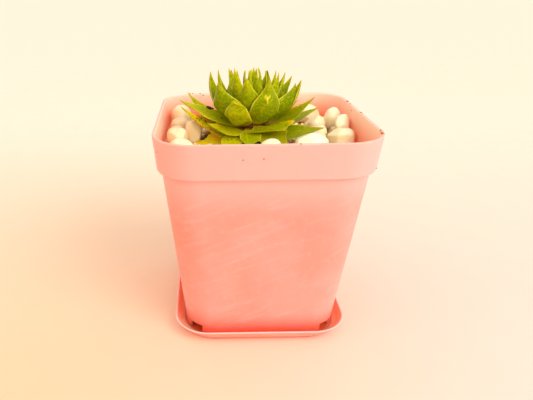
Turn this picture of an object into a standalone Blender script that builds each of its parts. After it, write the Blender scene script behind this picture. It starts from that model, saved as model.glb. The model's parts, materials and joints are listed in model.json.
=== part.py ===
"""A potted houseleek: a square tapered pot with a rim band on its saucer, soil, white pebbles and a rosette."""

import math
import random

import bmesh
import bpy
from mathutils import Matrix, Vector

MM = 0.001

# Saucer and pot, in millimetres. Half widths are measured from the middle to an outer face.
SAUCER_FOOT_HALF = 35.7
SAUCER_LIP_HALF = 39.5
SAUCER_CORNER = 15.6
SAUCER_HEIGHT = 6.2
SAUCER_WALL = 0.95
SAUCER_FLOOR = 1.3

REST_GAP = 0.3
WALL = 1.15
RIM_HALF = 45.0
RIM_CORNER = 16.4
RIM_Z = 94.9
BAND_HEIGHT = 14.4
BAND_FOOT_HALF = 43.9
NECK_HALF = 42.1
NECK_CORNER = 15.6
FOOT_HALF = 34.0
FOOT_CORNER = 13.0
FOOT_HEIGHT = 4.6
NOTCH_INNER = 26.8
NOTCH_ROOF_GAP = 0.25
DRAIN_RADIUS = 2.6
DRAIN_SPOTS = ((0, 0), (17, 17), (-17, 17), (-17, -17), (17, -17))

FOOT_Z = SAUCER_FLOOR + REST_GAP
FLOOR_Z = FOOT_Z + FOOT_HEIGHT
BAND_Z = RIM_Z - BAND_HEIGHT

SOIL_GAP = 0.35
SOIL_EDGE_Z = 80.3
SOIL_MOUND = 1.7

# The rosette. Leaf 0 is the oldest and lowest, and each next leaf stands a golden angle further round.
ROSETTE_X = -2.5
ROSETTE_Y = 1.0
STEM_FOOT_Z = 70.0
STEM_SOIL_RADIUS = 4.6
STEM_TOP_Z = 98.0
STEM_TOP_RADIUS = 1.7
STEM_SIDES = 16
LEAF_COUNT = 36
GOLDEN_ANGLE = 137.508
FIRST_CUP_LEAF = 16
CUP_LEAF_AZIMUTH = -33.0
LEAF_GAP = 0.6
LEAF_BASE_LOW_Z = 85.6
LEAF_BASE_HIGH_Z = 97.0

CORNER_STEPS = 7


def make_collection(name):
    group = bpy.data.collections.new(name)
    bpy.context.scene.collection.children.link(group)
    return group


def make_material(name, colour, roughness):
    material = bpy.data.materials.new(name)
    material.use_nodes = True
    shader = material.node_tree.nodes["Principled BSDF"]
    shader.inputs["Base Color"].default_value = (*colour, 1.0)
    shader.inputs["Roughness"].default_value = roughness
    shader.inputs["Metallic"].default_value = 0.0
    return material


def add_object(name, form, material, group, smooth_angle=35.0):
    """Turns a bmesh in millimetres into a named object in metres."""
    bmesh.ops.scale(form, vec=(MM, MM, MM), verts=form.verts)
    bmesh.ops.recalc_face_normals(form, faces=form.faces)
    mesh = bpy.data.meshes.new(name)
    form.to_mesh(mesh)
    form.free()
    mesh.materials.append(material)
    mesh.shade_smooth()
    mesh.set_sharp_from_angle(angle=math.radians(smooth_angle))
    made = bpy.data.objects.new(name, mesh)
    group.objects.link(made)
    return made


def add_empty(name, group, place=(0, 0, 0), parent=None):
    """An empty that pieces are parented to, at a place in millimetres."""
    empty = bpy.data.objects.new(name, None)
    group.objects.link(empty)
    empty.parent = parent
    empty.location = Vector(place) * MM
    empty.empty_display_size = 10 * MM
    return empty


def place_under(piece, parent, place=(0, 0, 0), turn=0.0):
    """Parents a piece to an empty, at a place in millimetres and turned about Z by degrees."""
    piece.parent = parent
    piece.location = Vector(place) * MM
    piece.rotation_euler = (0, 0, math.radians(turn))


def rounded_square(half, corner, z):
    """Points round a square of that half width whose corners are arcs, anticlockwise from +X."""
    points = []
    for quarter in range(4):
        start = math.pi / 2 * quarter
        middle = start + math.pi / 4
        centre = (half - corner) * math.sqrt(2)
        for step in range(CORNER_STEPS + 1):
            angle = start + math.pi / 2 * step / CORNER_STEPS
            points.append(
                Vector(
                    (
                        centre * math.cos(middle) + corner * math.cos(angle),
                        centre * math.sin(middle) + corner * math.sin(angle),
                        z,
                    )
                )
            )
    return points


def loft(rings):
    """A closed body through rings of equal length, capped at both ends. A ring of one point is a pole."""
    form = bmesh.new()
    rows = [[form.verts.new(point) for point in ring] for ring in rings]
    for low, high in zip(rows, rows[1:]):
        count = max(len(low), len(high))
        for i in range(count):
            j = (i + 1) % count
            corners = (
                low[i % len(low)],
                low[j % len(low)],
                high[j % len(high)],
                high[i % len(high)],
            )
            form.faces.new(list(dict.fromkeys(corners)))
    for end in (rows[0], rows[-1]):
        if len(end) > 2:
            form.faces.new(end)
    return form


def body_half(z):
    """Outer half width of the pot's tapered body at height z."""
    share = (z - FOOT_Z) / (BAND_Z - FOOT_Z)
    return FOOT_HALF + (NECK_HALF - FOOT_HALF) * share


def body_corner(z):
    share = (z - FOOT_Z) / (BAND_Z - FOOT_Z)
    return FOOT_CORNER + (NECK_CORNER - FOOT_CORNER) * share


def make_saucer(material, group):
    corner_in = SAUCER_CORNER - SAUCER_WALL
    middle_half = (SAUCER_FOOT_HALF + SAUCER_LIP_HALF) / 2
    sections = (
        (SAUCER_FOOT_HALF - 1.2, SAUCER_CORNER - 1.2, 0.0),
        (SAUCER_FOOT_HALF, SAUCER_CORNER, 0.6),
        (middle_half, SAUCER_CORNER, SAUCER_HEIGHT * 0.5),
        (SAUCER_LIP_HALF, SAUCER_CORNER, SAUCER_HEIGHT - 0.35),
        (SAUCER_LIP_HALF - 0.3, SAUCER_CORNER - 0.3, SAUCER_HEIGHT),
        (SAUCER_LIP_HALF - SAUCER_WALL + 0.3, corner_in + 0.3, SAUCER_HEIGHT),
        (SAUCER_LIP_HALF - SAUCER_WALL, corner_in, SAUCER_HEIGHT - 0.35),
        (middle_half - SAUCER_WALL, corner_in, SAUCER_HEIGHT * 0.5),
        (SAUCER_FOOT_HALF - SAUCER_WALL + 0.3, corner_in, SAUCER_FLOOR + 0.5),
        (SAUCER_FOOT_HALF - SAUCER_WALL - 0.3, corner_in - 0.4, SAUCER_FLOOR),
    )
    return add_object("saucer", loft([rounded_square(*s) for s in sections]), material, group)


def pot_sections():
    """The pot's wall as one closed profile, from under its floor, round the foot and the rim, to its floor."""
    inner = lambda z: (body_half(z) - WALL, body_corner(z) - WALL, z)
    outer = lambda z: (body_half(z), body_corner(z), z)
    floor_top = FLOOR_Z + WALL
    rim_in = RIM_HALF - WALL
    ledge_z = BAND_Z + WALL + 0.3
    return (
        inner(FLOOR_Z),
        inner(FOOT_Z),
        outer(FOOT_Z),
        outer(BAND_Z / 2),
        outer(BAND_Z - 0.3),
        (BAND_FOOT_HALF - 0.5, RIM_CORNER - 0.5, BAND_Z),
        (BAND_FOOT_HALF, RIM_CORNER, BAND_Z + 0.7),
        (RIM_HALF, RIM_CORNER, RIM_Z - 0.4),
        (RIM_HALF - 0.35, RIM_CORNER - 0.35, RIM_Z),
        (rim_in + 0.35, RIM_CORNER - WALL + 0.35, RIM_Z),
        (rim_in, RIM_CORNER - WALL, RIM_Z - 0.4),
        (BAND_FOOT_HALF - WALL, RIM_CORNER - WALL, ledge_z),
        (NECK_HALF - WALL, NECK_CORNER - WALL, ledge_z - 0.5),
        inner(BAND_Z - 4),
        inner(floor_top),
    )


def add_cutter(name, form, group):
    cutter = add_object(name, form, None, group)
    cutter.hide_render = True
    cutter.display_type = "WIRE"
    return cutter


def cut(target, cutters):
    for cutter in cutters:
        boolean = target.modifiers.new("cut_" + cutter.name, "BOOLEAN")
        boolean.operation = "DIFFERENCE"
        boolean.object = cutter


def make_pot(material, group, cutters):
    pot = add_object("pot", loft([rounded_square(*s) for s in pot_sections()]), material, group)
    notches = bmesh.new()
    notch_top = FLOOR_Z - NOTCH_ROOF_GAP
    for side_x in (-1, 1):
        for side_y in (-1, 1):
            made = bmesh.ops.create_cube(notches, size=20.0)["verts"]
            move = Vector((side_x * (NOTCH_INNER + 10), side_y * (NOTCH_INNER + 10), notch_top - 10))
            bmesh.ops.translate(notches, vec=move, verts=made)
    drains = bmesh.new()
    for x, y in DRAIN_SPOTS:
        made = bmesh.ops.create_cone(
            drains, segments=16, radius1=DRAIN_RADIUS, radius2=DRAIN_RADIUS, depth=6, cap_ends=True
        )["verts"]
        bmesh.ops.translate(drains, vec=(x, y, FLOOR_Z), verts=made)
    cut(pot, (add_cutter("corner_notches", notches, cutters), add_cutter("drain_holes", drains, cutters)))
    return pot


def turned(x, y, angle):
    """A point in plan after a turn about Z, in degrees."""
    spin = math.radians(angle)
    return x * math.cos(spin) - y * math.sin(spin), x * math.sin(spin) + y * math.cos(spin)


def soil_height(x, y):
    """Height of the soil's surface, a low mound towards the plant."""
    away = math.hypot(x - ROSETTE_X, y - ROSETTE_Y)
    return SOIL_EDGE_Z + SOIL_MOUND * max(0.0, 1 - (away / 34) ** 2)


def make_soil(material, group, cutters):
    bottom = FLOOR_Z + WALL + REST_GAP
    fit = WALL + SOIL_GAP
    rings = [
        rounded_square(body_half(bottom) - fit - 1, body_corner(bottom) - fit, bottom),
        rounded_square(body_half(bottom + 1.5) - fit, body_corner(bottom) - fit, bottom + 1.5),
        rounded_square(body_half(SOIL_EDGE_Z) - fit, body_corner(SOIL_EDGE_Z) - fit, SOIL_EDGE_Z),
    ]
    edge = rings[-1]
    for share in (0.84, 0.66, 0.48, 0.3):
        ring = [Vector((p.x * share, p.y * share, 0)) for p in edge]
        for point in ring:
            point.z = soil_height(point.x, point.y)
        rings.append(ring)
    rings.append([Vector((0, 0, soil_height(0, 0)))])
    soil = add_object("soil", loft(rings), material, group, 60)
    socket = bmesh.new()
    depth = 20
    bmesh.ops.create_cone(
        socket,
        segments=STEM_SIDES,
        radius1=STEM_SOIL_RADIUS + REST_GAP,
        radius2=STEM_SOIL_RADIUS + REST_GAP,
        depth=depth,
        cap_ends=True,
    )
    bmesh.ops.translate(
        socket, vec=(ROSETTE_X, ROSETTE_Y, STEM_FOOT_Z - REST_GAP + depth / 2), verts=socket.verts
    )
    cut(soil, (add_cutter("stem_socket", socket, cutters),))
    return soil


def stem_radius(z):
    share = (z - LEAF_BASE_LOW_Z) / (STEM_TOP_Z - LEAF_BASE_LOW_Z)
    return STEM_SOIL_RADIUS + (STEM_TOP_RADIUS - STEM_SOIL_RADIUS) * min(1.0, max(0.0, share))


def make_stem(material, group, rosette):
    heights = (STEM_FOOT_Z, STEM_FOOT_Z + 2, LEAF_BASE_LOW_Z, STEM_TOP_Z - 0.5, STEM_TOP_Z)
    widths = (2.2, STEM_SOIL_RADIUS, STEM_SOIL_RADIUS, stem_radius(STEM_TOP_Z - 0.5), 1.2)
    rings = []
    for z, radius in zip(heights, widths):
        turns = [2 * math.pi * k / STEM_SIDES for k in range(STEM_SIDES)]
        rings.append([Vector((radius * math.cos(a), radius * math.sin(a), z)) for a in turns])
    place_under(add_object("stem", loft(rings), material, group), rosette)


# Each leaf's turn away from the spiral in degrees, how far its tip reaches from the stem's axis, how high it
# ends and its width in millimetres, then where its midrib bends, as shares of the way out and of the way up,
# and how far it is rolled about its midrib, in degrees.
LOWER_LEAVES = (
    (-5, 33.0, 100.4, 11.0, 0.55, 0.03, -25),
    (6, 31.5, 91.0, 12.0, 0.5, 0.1, 15),
    (0, 29.0, 92.0, 12.0, 0.5, 0.3, 0),
    (-23, 24.0, 83.3, 9.6, 0.5, 0.1, -8),
    (-12, 32.0, 95.5, 12.0, 0.5, 0.3, 0),
    (-4, 31.5, 102.8, 10.0, 0.6, 0.05, -20),
    (6, 21.5, 85.6, 10.5, 0.5, 0.1, 15),
    (0, 27.0, 93.0, 12.0, 0.5, 0.3, 0),
    (-7, 24.0, 94.0, 10.0, 0.6, 0.0, -20),
    (3, 26.3, 102.2, 11.0, 0.55, 0.22, 12),
    (-6, 28.0, 95.0, 10.5, 0.5, 0.3, 0),
    (-11.5, 19.0, 84.5, 9.0, 0.5, 0.6, -2),
    (-8, 29.5, 96.6, 10.5, 0.5, 0.3, 0),
    (-2, 33.2, 102.0, 12.0, 0.55, 0.30, -12),
    (-16, 19.8, 91.4, 14.5, 0.5, 0.55, 35),
    (0, 27.0, 99.0, 12.0, 0.5, 0.3, 0),
)
CUP_LEAVES = (
    (-3, 17.0, 104.3, 12.5, 1.2, 0.2, 0),
    (0, 21.7, 108.4, 12.0, 0.9, 0.25, 0),
    (0, 21.3, 111.8, 12.0, 1.15, 0.25, 0),
    (-2, 15.0, 112.0, 12.8, 1.14, 0.24, 0),
    (0, 20.0, 110.0, 12.0, 1.0, 0.25, 0),
    (1, 17.8, 110.4, 12.5, 1.08, 0.27, 0),
    (1, 17.5, 109.0, 12.0, 0.95, 0.25, 0),
    (0, 19.0, 111.4, 11.5, 1.0, 0.25, 0),
    (-7, 13.1, 112.7, 11.8, 0.9, 0.2, 0),
    (-2, 21.2, 109.2, 10.0, 0.7, 0.22, 0),
    (0, 15.8, 113.8, 10.5, 0.97, 0.2, 0),
    (4, 12.8, 114.3, 8.8, 0.9, 0.2, 0),
    (0, 15.0, 112.5, 11.0, 0.95, 0.2, 0),
    (-2, 12.8, 116.2, 10.0, 0.8, 0.2, 0),
    (2, 13.1, 112.7, 8.8, 0.75, 0.2, 0),
    (-2, 14.6, 113.2, 9.5, 0.82, 0.2, 0),
    (-5, 5.4, 115.0, 6.0, 0.8, 0.2, 0),
    (0, 11.0, 112.3, 8.5, 0.8, 0.2, 0),
    (0, 8.0, 114.3, 8.0, 0.8, 0.2, 0),
    (5, 9.2, 114.3, 7.0, 0.8, 0.2, 0),
)
LEAVES = LOWER_LEAVES + CUP_LEAVES

# The dead leaf lying on the soil under the rosette, shaped by the same measures.
DRY_LEAF_AZIMUTH = -84.0
DRY_LEAF_BASE_Z = 84.2
DRY_LEAF = (28.0, 82.4, 10.0, 0.4, 0.9, 0)

# Share of the leaf's length, and its width there as a share of the greatest width.
LEAF_OUTLINE = (
    (0.0, 0.38),
    (0.10, 0.45),
    (0.24, 0.66),
    (0.40, 0.90),
    (0.55, 1.0),
    (0.70, 0.93),
    (0.82, 0.66),
    (0.90, 0.36),
    (0.96, 0.14),
)
BLUNT_OUTLINE = (
    (0.0, 0.38),
    (0.10, 0.48),
    (0.24, 0.72),
    (0.40, 0.93),
    (0.55, 1.0),
    (0.70, 0.98),
    (0.82, 0.86),
    (0.91, 0.62),
    (0.97, 0.32),
)
BLUNT_LEAVES = (16,)
ACROSS = (-1.0, -0.55, 0.0, 0.55, 1.0)


def leaf_rings(base_z, shape, outline, cup, thickest):
    """Cross-sections of a leaf that points along -Y, from its base to its tip. Its midrib is one upright curve."""
    reach, tip_z, width, bend_out, bend_up, roll = shape
    base = Vector((stem_radius(base_z) + LEAF_GAP, base_z))
    tip = Vector((reach, tip_z))
    bend = Vector((base.x + (tip.x - base.x) * bend_out, base.y + (tip.y - base.y) * bend_up))

    def midrib(t):
        flat = base * (1 - t) ** 2 + bend * 2 * t * (1 - t) + tip * t**2
        along = (bend - base) * (1 - t) + (tip - bend) * t
        along.normalize()
        twist = Matrix.Rotation(math.radians(roll) * min(1.0, t / 0.3), 3, Vector((0, -along.x, along.y)))
        return Vector((0, -flat.x, flat.y)), twist @ Vector((1, 0, 0)), twist @ Vector((0, along.y, along.x))

    rings = []
    for t, wide in outline:
        place, sideways, upper = midrib(t)
        half = width / 2 * wide
        thick = thickest * (0.45 + 0.55 * math.sin(math.pi * min(1, t + 0.22)) ** 0.8) * min(1, wide + 0.25)
        ring = []
        for u in ACROSS:
            lift = cup * half * u * u + thick * 0.18 * (1 - u * u)
            ring.append(place + sideways * half * u + upper * lift)
        for u in ACROSS[-2:0:-1]:
            lift = cup * half * u * u - thick * 0.82 * (1 - u * u)
            ring.append(place + sideways * half * u * 0.98 + upper * lift)
        rings.append(ring)
    rings.append([midrib(1.0)[0]])
    return rings


def make_leaves(material, dry_material, group, rosette):
    for index in range(LEAF_COUNT):
        base_z = LEAF_BASE_LOW_Z + (LEAF_BASE_HIGH_Z - LEAF_BASE_LOW_Z) * index / (LEAF_COUNT - 1)
        cup, thickest = (0.26, 1.8) if index >= FIRST_CUP_LEAF else (0.11, 1.6)
        outline = BLUNT_OUTLINE if index in BLUNT_LEAVES else LEAF_OUTLINE
        rings = leaf_rings(base_z, LEAVES[index][1:], outline, cup, thickest)
        leaf = add_object(f"leaf_{index + 1:02d}", loft(rings), material, group, 70)
        turn = CUP_LEAF_AZIMUTH + GOLDEN_ANGLE * (index - FIRST_CUP_LEAF) + LEAVES[index][0]
        place_under(leaf, rosette, turn=turn)
    rings = leaf_rings(DRY_LEAF_BASE_Z, DRY_LEAF, LEAF_OUTLINE, -0.1, 1.0)
    dry = add_object("leaf_withered", loft(rings), dry_material, group, 70)
    place_under(dry, rosette, turn=DRY_LEAF_AZIMUTH)


def make_bud(material, group, rosette):
    """The innermost leaves, still closed round each other as one pointed bud."""
    sides = 12
    rings = []
    for z, radius in ((98.4, 1.0), (100.5, 2.0), (104.5, 2.6), (109.0, 1.9), (112.5, 0.8)):
        ring = []
        for k in range(sides):
            angle = 2 * math.pi * k / sides
            lobe = 1 + 0.16 * math.cos(3 * angle)
            flat = Vector((math.cos(angle), math.sin(angle), 0)) * radius * lobe
            ring.append(flat + Vector((0, 0, z)))
        rings.append(ring)
    rings.append([Vector((0, 0, 115.0))])
    place_under(add_object("heart_bud", loft(rings), material, group, 60), rosette)


# Middle of each pebble from the pot's axis, its length, width and height, and how it is turned, in mm and degrees.
PEBBLES = (
    (-36.0, 30.0, 11.0, 10.0, 11.0, 70),
    (-35.9, 17.6, 11.5, 10.0, 9.5, 20),
    (-37.2, 6.8, 8.0, 7.5, 7.5, 60),
    (-29.2, 2.6, 9.0, 7.6, 10.8, 80),
    (-36.6, -6.0, 11.0, 10.0, 8.8, 100),
    (38.2, 21.2, 9.4, 8.2, 12.4, 90),
    (39.0, 8.2, 8.6, 7.8, 11.8, 90),
    (36.2, -3.2, 12.0, 9.6, 8.4, 0),
    (25.6, -5.6, 7.6, 7.0, 7.2, 30),
    (27.6, 5.0, 8.0, 7.2, 7.4, 0),
    (28.6, 16.6, 9.0, 8.0, 8.4, 60),
    (28.0, 35.6, 12.0, 10.0, 10.5, 165),
    (20.4, -18.0, 13.2, 11.6, 10.2, 0),
    (1.5, -25.0, 10.0, 9.5, 9.6, 170),
    (-16.5, 35.0, 12.5, 10.5, 8.5, 165),
    (-34.0, -20.5, 12.5, 11.0, 9.0, 140),
    (-15.0, -33.5, 12.5, 11.0, 8.8, 20),
    (33.0, -30.0, 13.0, 11.0, 8.8, 100),
)
PEBBLE_DETAIL = 2


def make_pebble(index, spot, material, group, parent):
    """A tumbled stone: an icosphere squared off a little by seeded waves, lying on the soil."""
    x, y, length, width, height, turn = spot
    chance = random.Random(index)
    waves = [
        (Vector((chance.uniform(-1, 1), chance.uniform(-1, 1), chance.uniform(-1, 1))), chance.uniform(0, 6.3))
        for _ in range(4)
    ]
    form = bmesh.new()
    bmesh.ops.create_icosphere(form, subdivisions=PEBBLE_DETAIL, radius=0.5)
    for vert in form.verts:
        way = vert.co.normalized()
        swell = 1 + sum(0.05 * math.sin(3.2 * way.dot(axis) + phase) for axis, phase in waves)
        vert.co = Vector((vert.co.x * length, vert.co.y * width, vert.co.z * height)) * swell
    lift = REST_GAP + max(
        soil_height(x + spot_x, y + spot_y) - vert.co.z
        for vert in form.verts
        if vert.co.z < 0
        for spot_x, spot_y in (turned(vert.co.x, vert.co.y, turn),)
    )
    pebble = add_object(f"pebble_{index + 1:02d}", form, material, group, 80)
    place_under(pebble, parent, (x, y, lift), turn)


def main():
    for old in list(bpy.data.objects):
        bpy.data.objects.remove(old)
    parts = make_collection("potted_houseleek")
    cutters = make_collection("cutters")
    cutters.hide_render = True

    pot_plastic = make_material("pink_plastic", (0.93, 0.42, 0.34), 0.45)
    saucer_plastic = make_material("saucer_plastic", (0.93, 0.38, 0.31), 0.42)
    earth = make_material("soil", (0.05, 0.03, 0.02), 0.95)
    leaf_green = make_material("leaf_green", (0.25, 0.36, 0.04), 0.5)
    dry_yellow = make_material("dry_leaf", (0.62, 0.38, 0.05), 0.7)
    stem_brown = make_material("stem_brown", (0.30, 0.20, 0.07), 0.8)
    bud_green = make_material("bud_green", (0.36, 0.45, 0.08), 0.5)
    stone = make_material("white_stone", (0.87, 0.82, 0.70), 0.6)

    stand = add_empty("potted_houseleek", parts)
    rosette = add_empty("rosette", parts, (ROSETTE_X, ROSETTE_Y, 0), stand)
    place_under(make_saucer(saucer_plastic, parts), stand)
    place_under(make_pot(pot_plastic, parts, cutters), stand)
    place_under(make_soil(earth, parts, cutters), stand)
    make_stem(stem_brown, parts, rosette)
    make_leaves(leaf_green, dry_yellow, parts, rosette)
    make_bud(bud_green, parts, rosette)
    for index, spot in enumerate(PEBBLES):
        make_pebble(index, spot, stone, parts, stand)


main()
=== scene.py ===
import json
import math
import random

import bmesh
import bpy
from mathutils import Matrix, Vector, noise

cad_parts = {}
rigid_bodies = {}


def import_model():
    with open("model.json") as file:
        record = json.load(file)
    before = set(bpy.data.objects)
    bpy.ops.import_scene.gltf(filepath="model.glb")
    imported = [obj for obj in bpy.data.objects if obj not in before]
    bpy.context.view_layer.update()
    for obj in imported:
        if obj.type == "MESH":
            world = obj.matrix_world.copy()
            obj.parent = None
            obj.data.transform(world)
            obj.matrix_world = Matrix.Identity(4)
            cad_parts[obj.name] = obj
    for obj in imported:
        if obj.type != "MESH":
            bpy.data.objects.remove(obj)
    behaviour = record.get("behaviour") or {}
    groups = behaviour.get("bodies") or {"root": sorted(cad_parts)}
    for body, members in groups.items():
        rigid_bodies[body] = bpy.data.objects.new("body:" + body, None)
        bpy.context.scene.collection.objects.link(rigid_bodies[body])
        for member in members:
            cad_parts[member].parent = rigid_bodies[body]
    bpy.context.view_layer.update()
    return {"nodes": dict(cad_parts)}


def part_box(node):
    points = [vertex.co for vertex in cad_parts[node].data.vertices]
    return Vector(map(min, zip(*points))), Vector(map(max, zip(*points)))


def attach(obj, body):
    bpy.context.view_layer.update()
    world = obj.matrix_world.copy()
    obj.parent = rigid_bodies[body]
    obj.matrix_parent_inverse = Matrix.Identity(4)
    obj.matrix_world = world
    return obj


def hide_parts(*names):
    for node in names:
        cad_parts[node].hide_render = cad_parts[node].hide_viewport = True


for old in list(bpy.data.objects):
    bpy.data.objects.remove(old)
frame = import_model()
mm = 0.001
stemLow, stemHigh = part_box("stem")
rosette = Vector(((stemLow.x + stemHigh.x) / 2, (stemLow.y + stemHigh.y) / 2, 0))
print("frame loaded:", len(frame["nodes"]), "nodes")


def newPiece(name, mesh, material=None):
    piece = bpy.data.objects.new(name, mesh)
    bpy.context.scene.collection.objects.link(piece)
    if material:
        mesh.materials.clear()
        mesh.materials.append(material)
    return piece


def formToMesh(name, form, smooth=True):
    mesh = bpy.data.meshes.new(name)
    form.to_mesh(mesh)
    form.free()
    if smooth:
        mesh.shade_smooth()
    return mesh


def mergedForm(nodeName):
    form = bmesh.new()
    form.from_mesh(frame["nodes"][nodeName].data)
    bmesh.ops.remove_doubles(form, verts=form.verts, dist=1e-6)
    return form


def bakeModifiers(piece):
    # the piece as its modifiers leave it, as a plain mesh
    bpy.context.view_layer.update()
    graph = bpy.context.evaluated_depsgraph_get()
    mesh = bpy.data.meshes.new_from_object(piece.evaluated_get(graph), depsgraph=graph)
    mesh.name = piece.name
    piece.modifiers.clear()
    piece.data = mesh
    return piece


def roundOff(piece):
    smooth = piece.modifiers.new("round", "SUBSURF")
    smooth.levels = smooth.render_levels = 2
    bakeModifiers(piece)


def addFloats(mesh, name, values):
    # a list with one value for each vertex, or one value for all of them
    if not isinstance(values, list):
        values = [values] * len(mesh.vertices)
    layer = mesh.attributes.new(name, "FLOAT", "POINT")
    layer.data.foreach_set("value", values)


def joinRings(form, rings):
    for low, high in zip(rings, rings[1:]):
        for i in range(len(low)):
            j = (i + 1) % len(low)
            form.faces.new((low[i], low[j], high[j], high[i]))


def joinTip(form, ring, tip):
    for i in range(len(ring)):
        form.faces.new((ring[i], ring[(i + 1) % len(ring)], tip))


def finishPiece(piece, slotName, *nodeNames):
    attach(piece, "root")
    if nodeNames:
        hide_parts(*nodeNames)
    return piece


def addPiece(name, form, material, slotName, *nodeNames):
    return finishPiece(newPiece(name, formToMesh(name, form), material), slotName, *nodeNames)


def addNode(tree, kind, values=None, pick=0, **settings):
    # a node with its values and settings, from which one output is picked
    made = tree.nodes.new(kind)
    for key, value in settings.items():
        setattr(made, key, value)
    for key, value in (values or {}).items():
        if isinstance(value, bpy.types.NodeSocket):
            tree.links.new(value, made.inputs[key])
        else:
            made.inputs[key].default_value = value
    return made.outputs[pick]


def addBeside(socket, kind, values=None, pick=0, **settings):
    # a node in the tree that the socket belongs to
    return addNode(socket.id_data, kind, values, pick, **settings)


def newMaterial(name):
    # a material, and the place on the piece that its patterns follow
    material = bpy.data.materials.new(name)
    material.use_nodes = True
    return material, addNode(material.node_tree, "ShaderNodeTexCoord", pick="Object")


def mixColour(share, first, second):
    return addBeside(share, "ShaderNodeMix", {0: share, 6: first, 7: second}, 2, data_type="RGBA")


def ramp(value, low, high, fromLow=0.0, fromHigh=1.0):
    values = {0: value, 1: fromLow, 2: fromHigh, 3: low, 4: high}
    return addBeside(value, "ShaderNodeMapRange", values, interpolation_type="SMOOTHSTEP")


def coats(colour, *rows):
    # each row lays a colour over the last: the value that its share follows, the share at either end,
    # the value at either end, and the colour
    for *shareRamp, over in rows:
        colour = mixColour(ramp(*shareRamp), colour, over)
    return colour


def maths(kind, first, second=0.0):
    return addBeside(first, "ShaderNodeMath", {0: first, 1: second}, operation=kind)


def times(first, second):
    return maths("MULTIPLY", first, second)


def plus(first, second):
    return maths("ADD", first, second)


def minus(first, second):
    return maths("SUBTRACT", first, second)


def cloud(place, scale, detail=3.0, rough=0.55):
    values = {"Vector": place, "Scale": scale, "Detail": detail, "Roughness": rough}
    return addBeside(place, "ShaderNodeTexNoise", values)


def stretched(place, scale):
    return addBeside(place, "ShaderNodeMapping", {"Vector": place, "Scale": scale})


def axis(place, number):
    return addBeside(place, "ShaderNodeSeparateXYZ", {0: place}, number)


def mark(place, name):
    # a value kept on the piece's vertices
    return addBeside(place, "ShaderNodeAttribute", None, "Fac", attribute_name=name)


def dress(colour, rough, bump, skin=(), gloss=None):
    # rough: what it follows, from and to; bump: height, strength and distance;
    # skin: weight, radius and scale of the light that spreads under the surface
    inputs = colour.id_data.nodes["Principled BSDF"].inputs
    links = colour.id_data.links
    links.new(colour, inputs["Base Color"])
    links.new(ramp(*rough), inputs["Roughness"])
    relief = dict(zip(("Height", "Strength", "Distance"), bump))
    links.new(addBeside(colour, "ShaderNodeBump", relief), inputs["Normal"])
    for label, value in zip(("Weight", "Radius", "Scale"), skin):
        inputs["Subsurface " + label].default_value = value
    if gloss is not None:
        inputs["Specular IOR Level"].default_value = gloss
    return inputs


def clamp(value):
    return min(1.0, max(0.0, value))


def softStep(value):
    value = clamp(value)
    return value * value * (3 - 2 * value)


# pot and saucer: lengths in millimetres, and in metres where they are multiplied by mm
pot = {
    "wall": 1.15,
    "rimHalf": 45.0,
    "rimCorner": 16.4,
    "bandHeight": 14.4,
    "bandFootHalf": 43.9,
    "neckHalf": 42.1,
    "neckCorner": 15.6,
    "footHalf": 34.0,
    "footCorner": 13.0,
    "footHeight": 4.6,
    "notchInner": 26.8,
    "drainRadius": 2.6,
    "drainSpots": ((0, 0), (17, 17), (-17, 17), (-17, -17), (17, -17)),
    "arcSteps": 14,
    "sideSteps": (0.03, 0.2, 0.5, 0.8, 0.97),
    "edgeSteps": 4,
    "edgeShare": 0.45,
    "flatMargin": 0.35,
    "flatStep": 9.0,
    "floorShares": (0.97, 0.8, 0.55, 0.3),
    "notchReach": 10.0,
    "notchGap": 0.25,
    "drainDepth": 6.0,
    "drainSides": 32,
    "creaseAngle": math.radians(50),
    "colour": (0.97, 0.32, 0.264, 1),
    "deepColour": (0.96, 0.285, 0.222, 1),
    "paleColour": (0.98, 0.385, 0.34, 1),
    # painted light: the band is paler than the body, as the top of the pot is lit more
    "bandLitColour": (0.98, 0.405, 0.355, 1),
    # painted light and shade inside: paler on the upper inner walls, redder low down where they are in
    # shade
    "insideLitColour": (0.995, 0.66, 0.535, 1),
    "insideShadeColour": (0.995, 0.37, 0.23, 1),
    # painted shade: deep red low on the pot, beside the saucer
    "footShadeColour": (0.97, 0.17, 0.11, 1),
    "bandLitRise": (60 * mm, 82 * mm),
    "footShadeRise": (3 * mm, 14 * mm),
    "rough": (0.39, 0.53),
    "gloss": 0.3,
    "skin": 0.7,
}
saucer = {
    "footHalf": 35.7,
    "lipHalf": 39.5,
    "corner": 15.6,
    "height": 6.2,
    "wall": 0.95,
    "floor": 1.3,
    "colour": (0.97, 0.37, 0.29, 1),
    "deepColour": (0.97, 0.315, 0.225, 1),
    "paleColour": (0.98, 0.43, 0.36, 1),
    # painted highlight: the saucer's lip is paler
    "bandLitColour": (0.985, 0.54, 0.52, 1),
    # painted shade: the saucer's inside takes the lower, redder inside colour
    "insideLitColour": (0.995, 0.43, 0.29, 1),
    "insideShadeColour": (0.995, 0.43, 0.27, 1),
    # painted shade: the saucer's floor, in shade under the pot, is deep red
    "footShadeColour": (0.98, 0.12, 0.035, 1),
    "bandLitRise": (5.4 * mm, 6.2 * mm),
    "footShadeRise": (0.7 * mm, 1.9 * mm),
    "rough": (0.35, 0.49),
    "gloss": 0.06,
    "skin": 0.3,
}
plastic = {
    # the height over which the painted shade low on the inner walls turns into their painted light
    "insideShadeRise": (84 * mm, 96 * mm),
    "strokeTurn": (0.0, -0.4, 0.0),
    "strokeSize": (4.0, 1.0, 0.5),
    "grain": 1500.0,
    "skinRadius": (1.0, 0.45, 0.3),
    "skinScale": 4 * mm,
}
pot["footZ"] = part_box("pot")[0].z / mm
pot["rimZ"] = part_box("pot")[1].z / mm
pot["floorZ"] = pot["footZ"] + pot["footHeight"]
pot["bandZ"] = pot["rimZ"] - pot["bandHeight"]
quarterSteps = pot["arcSteps"] + 1 + len(pot["sideSteps"])


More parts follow.
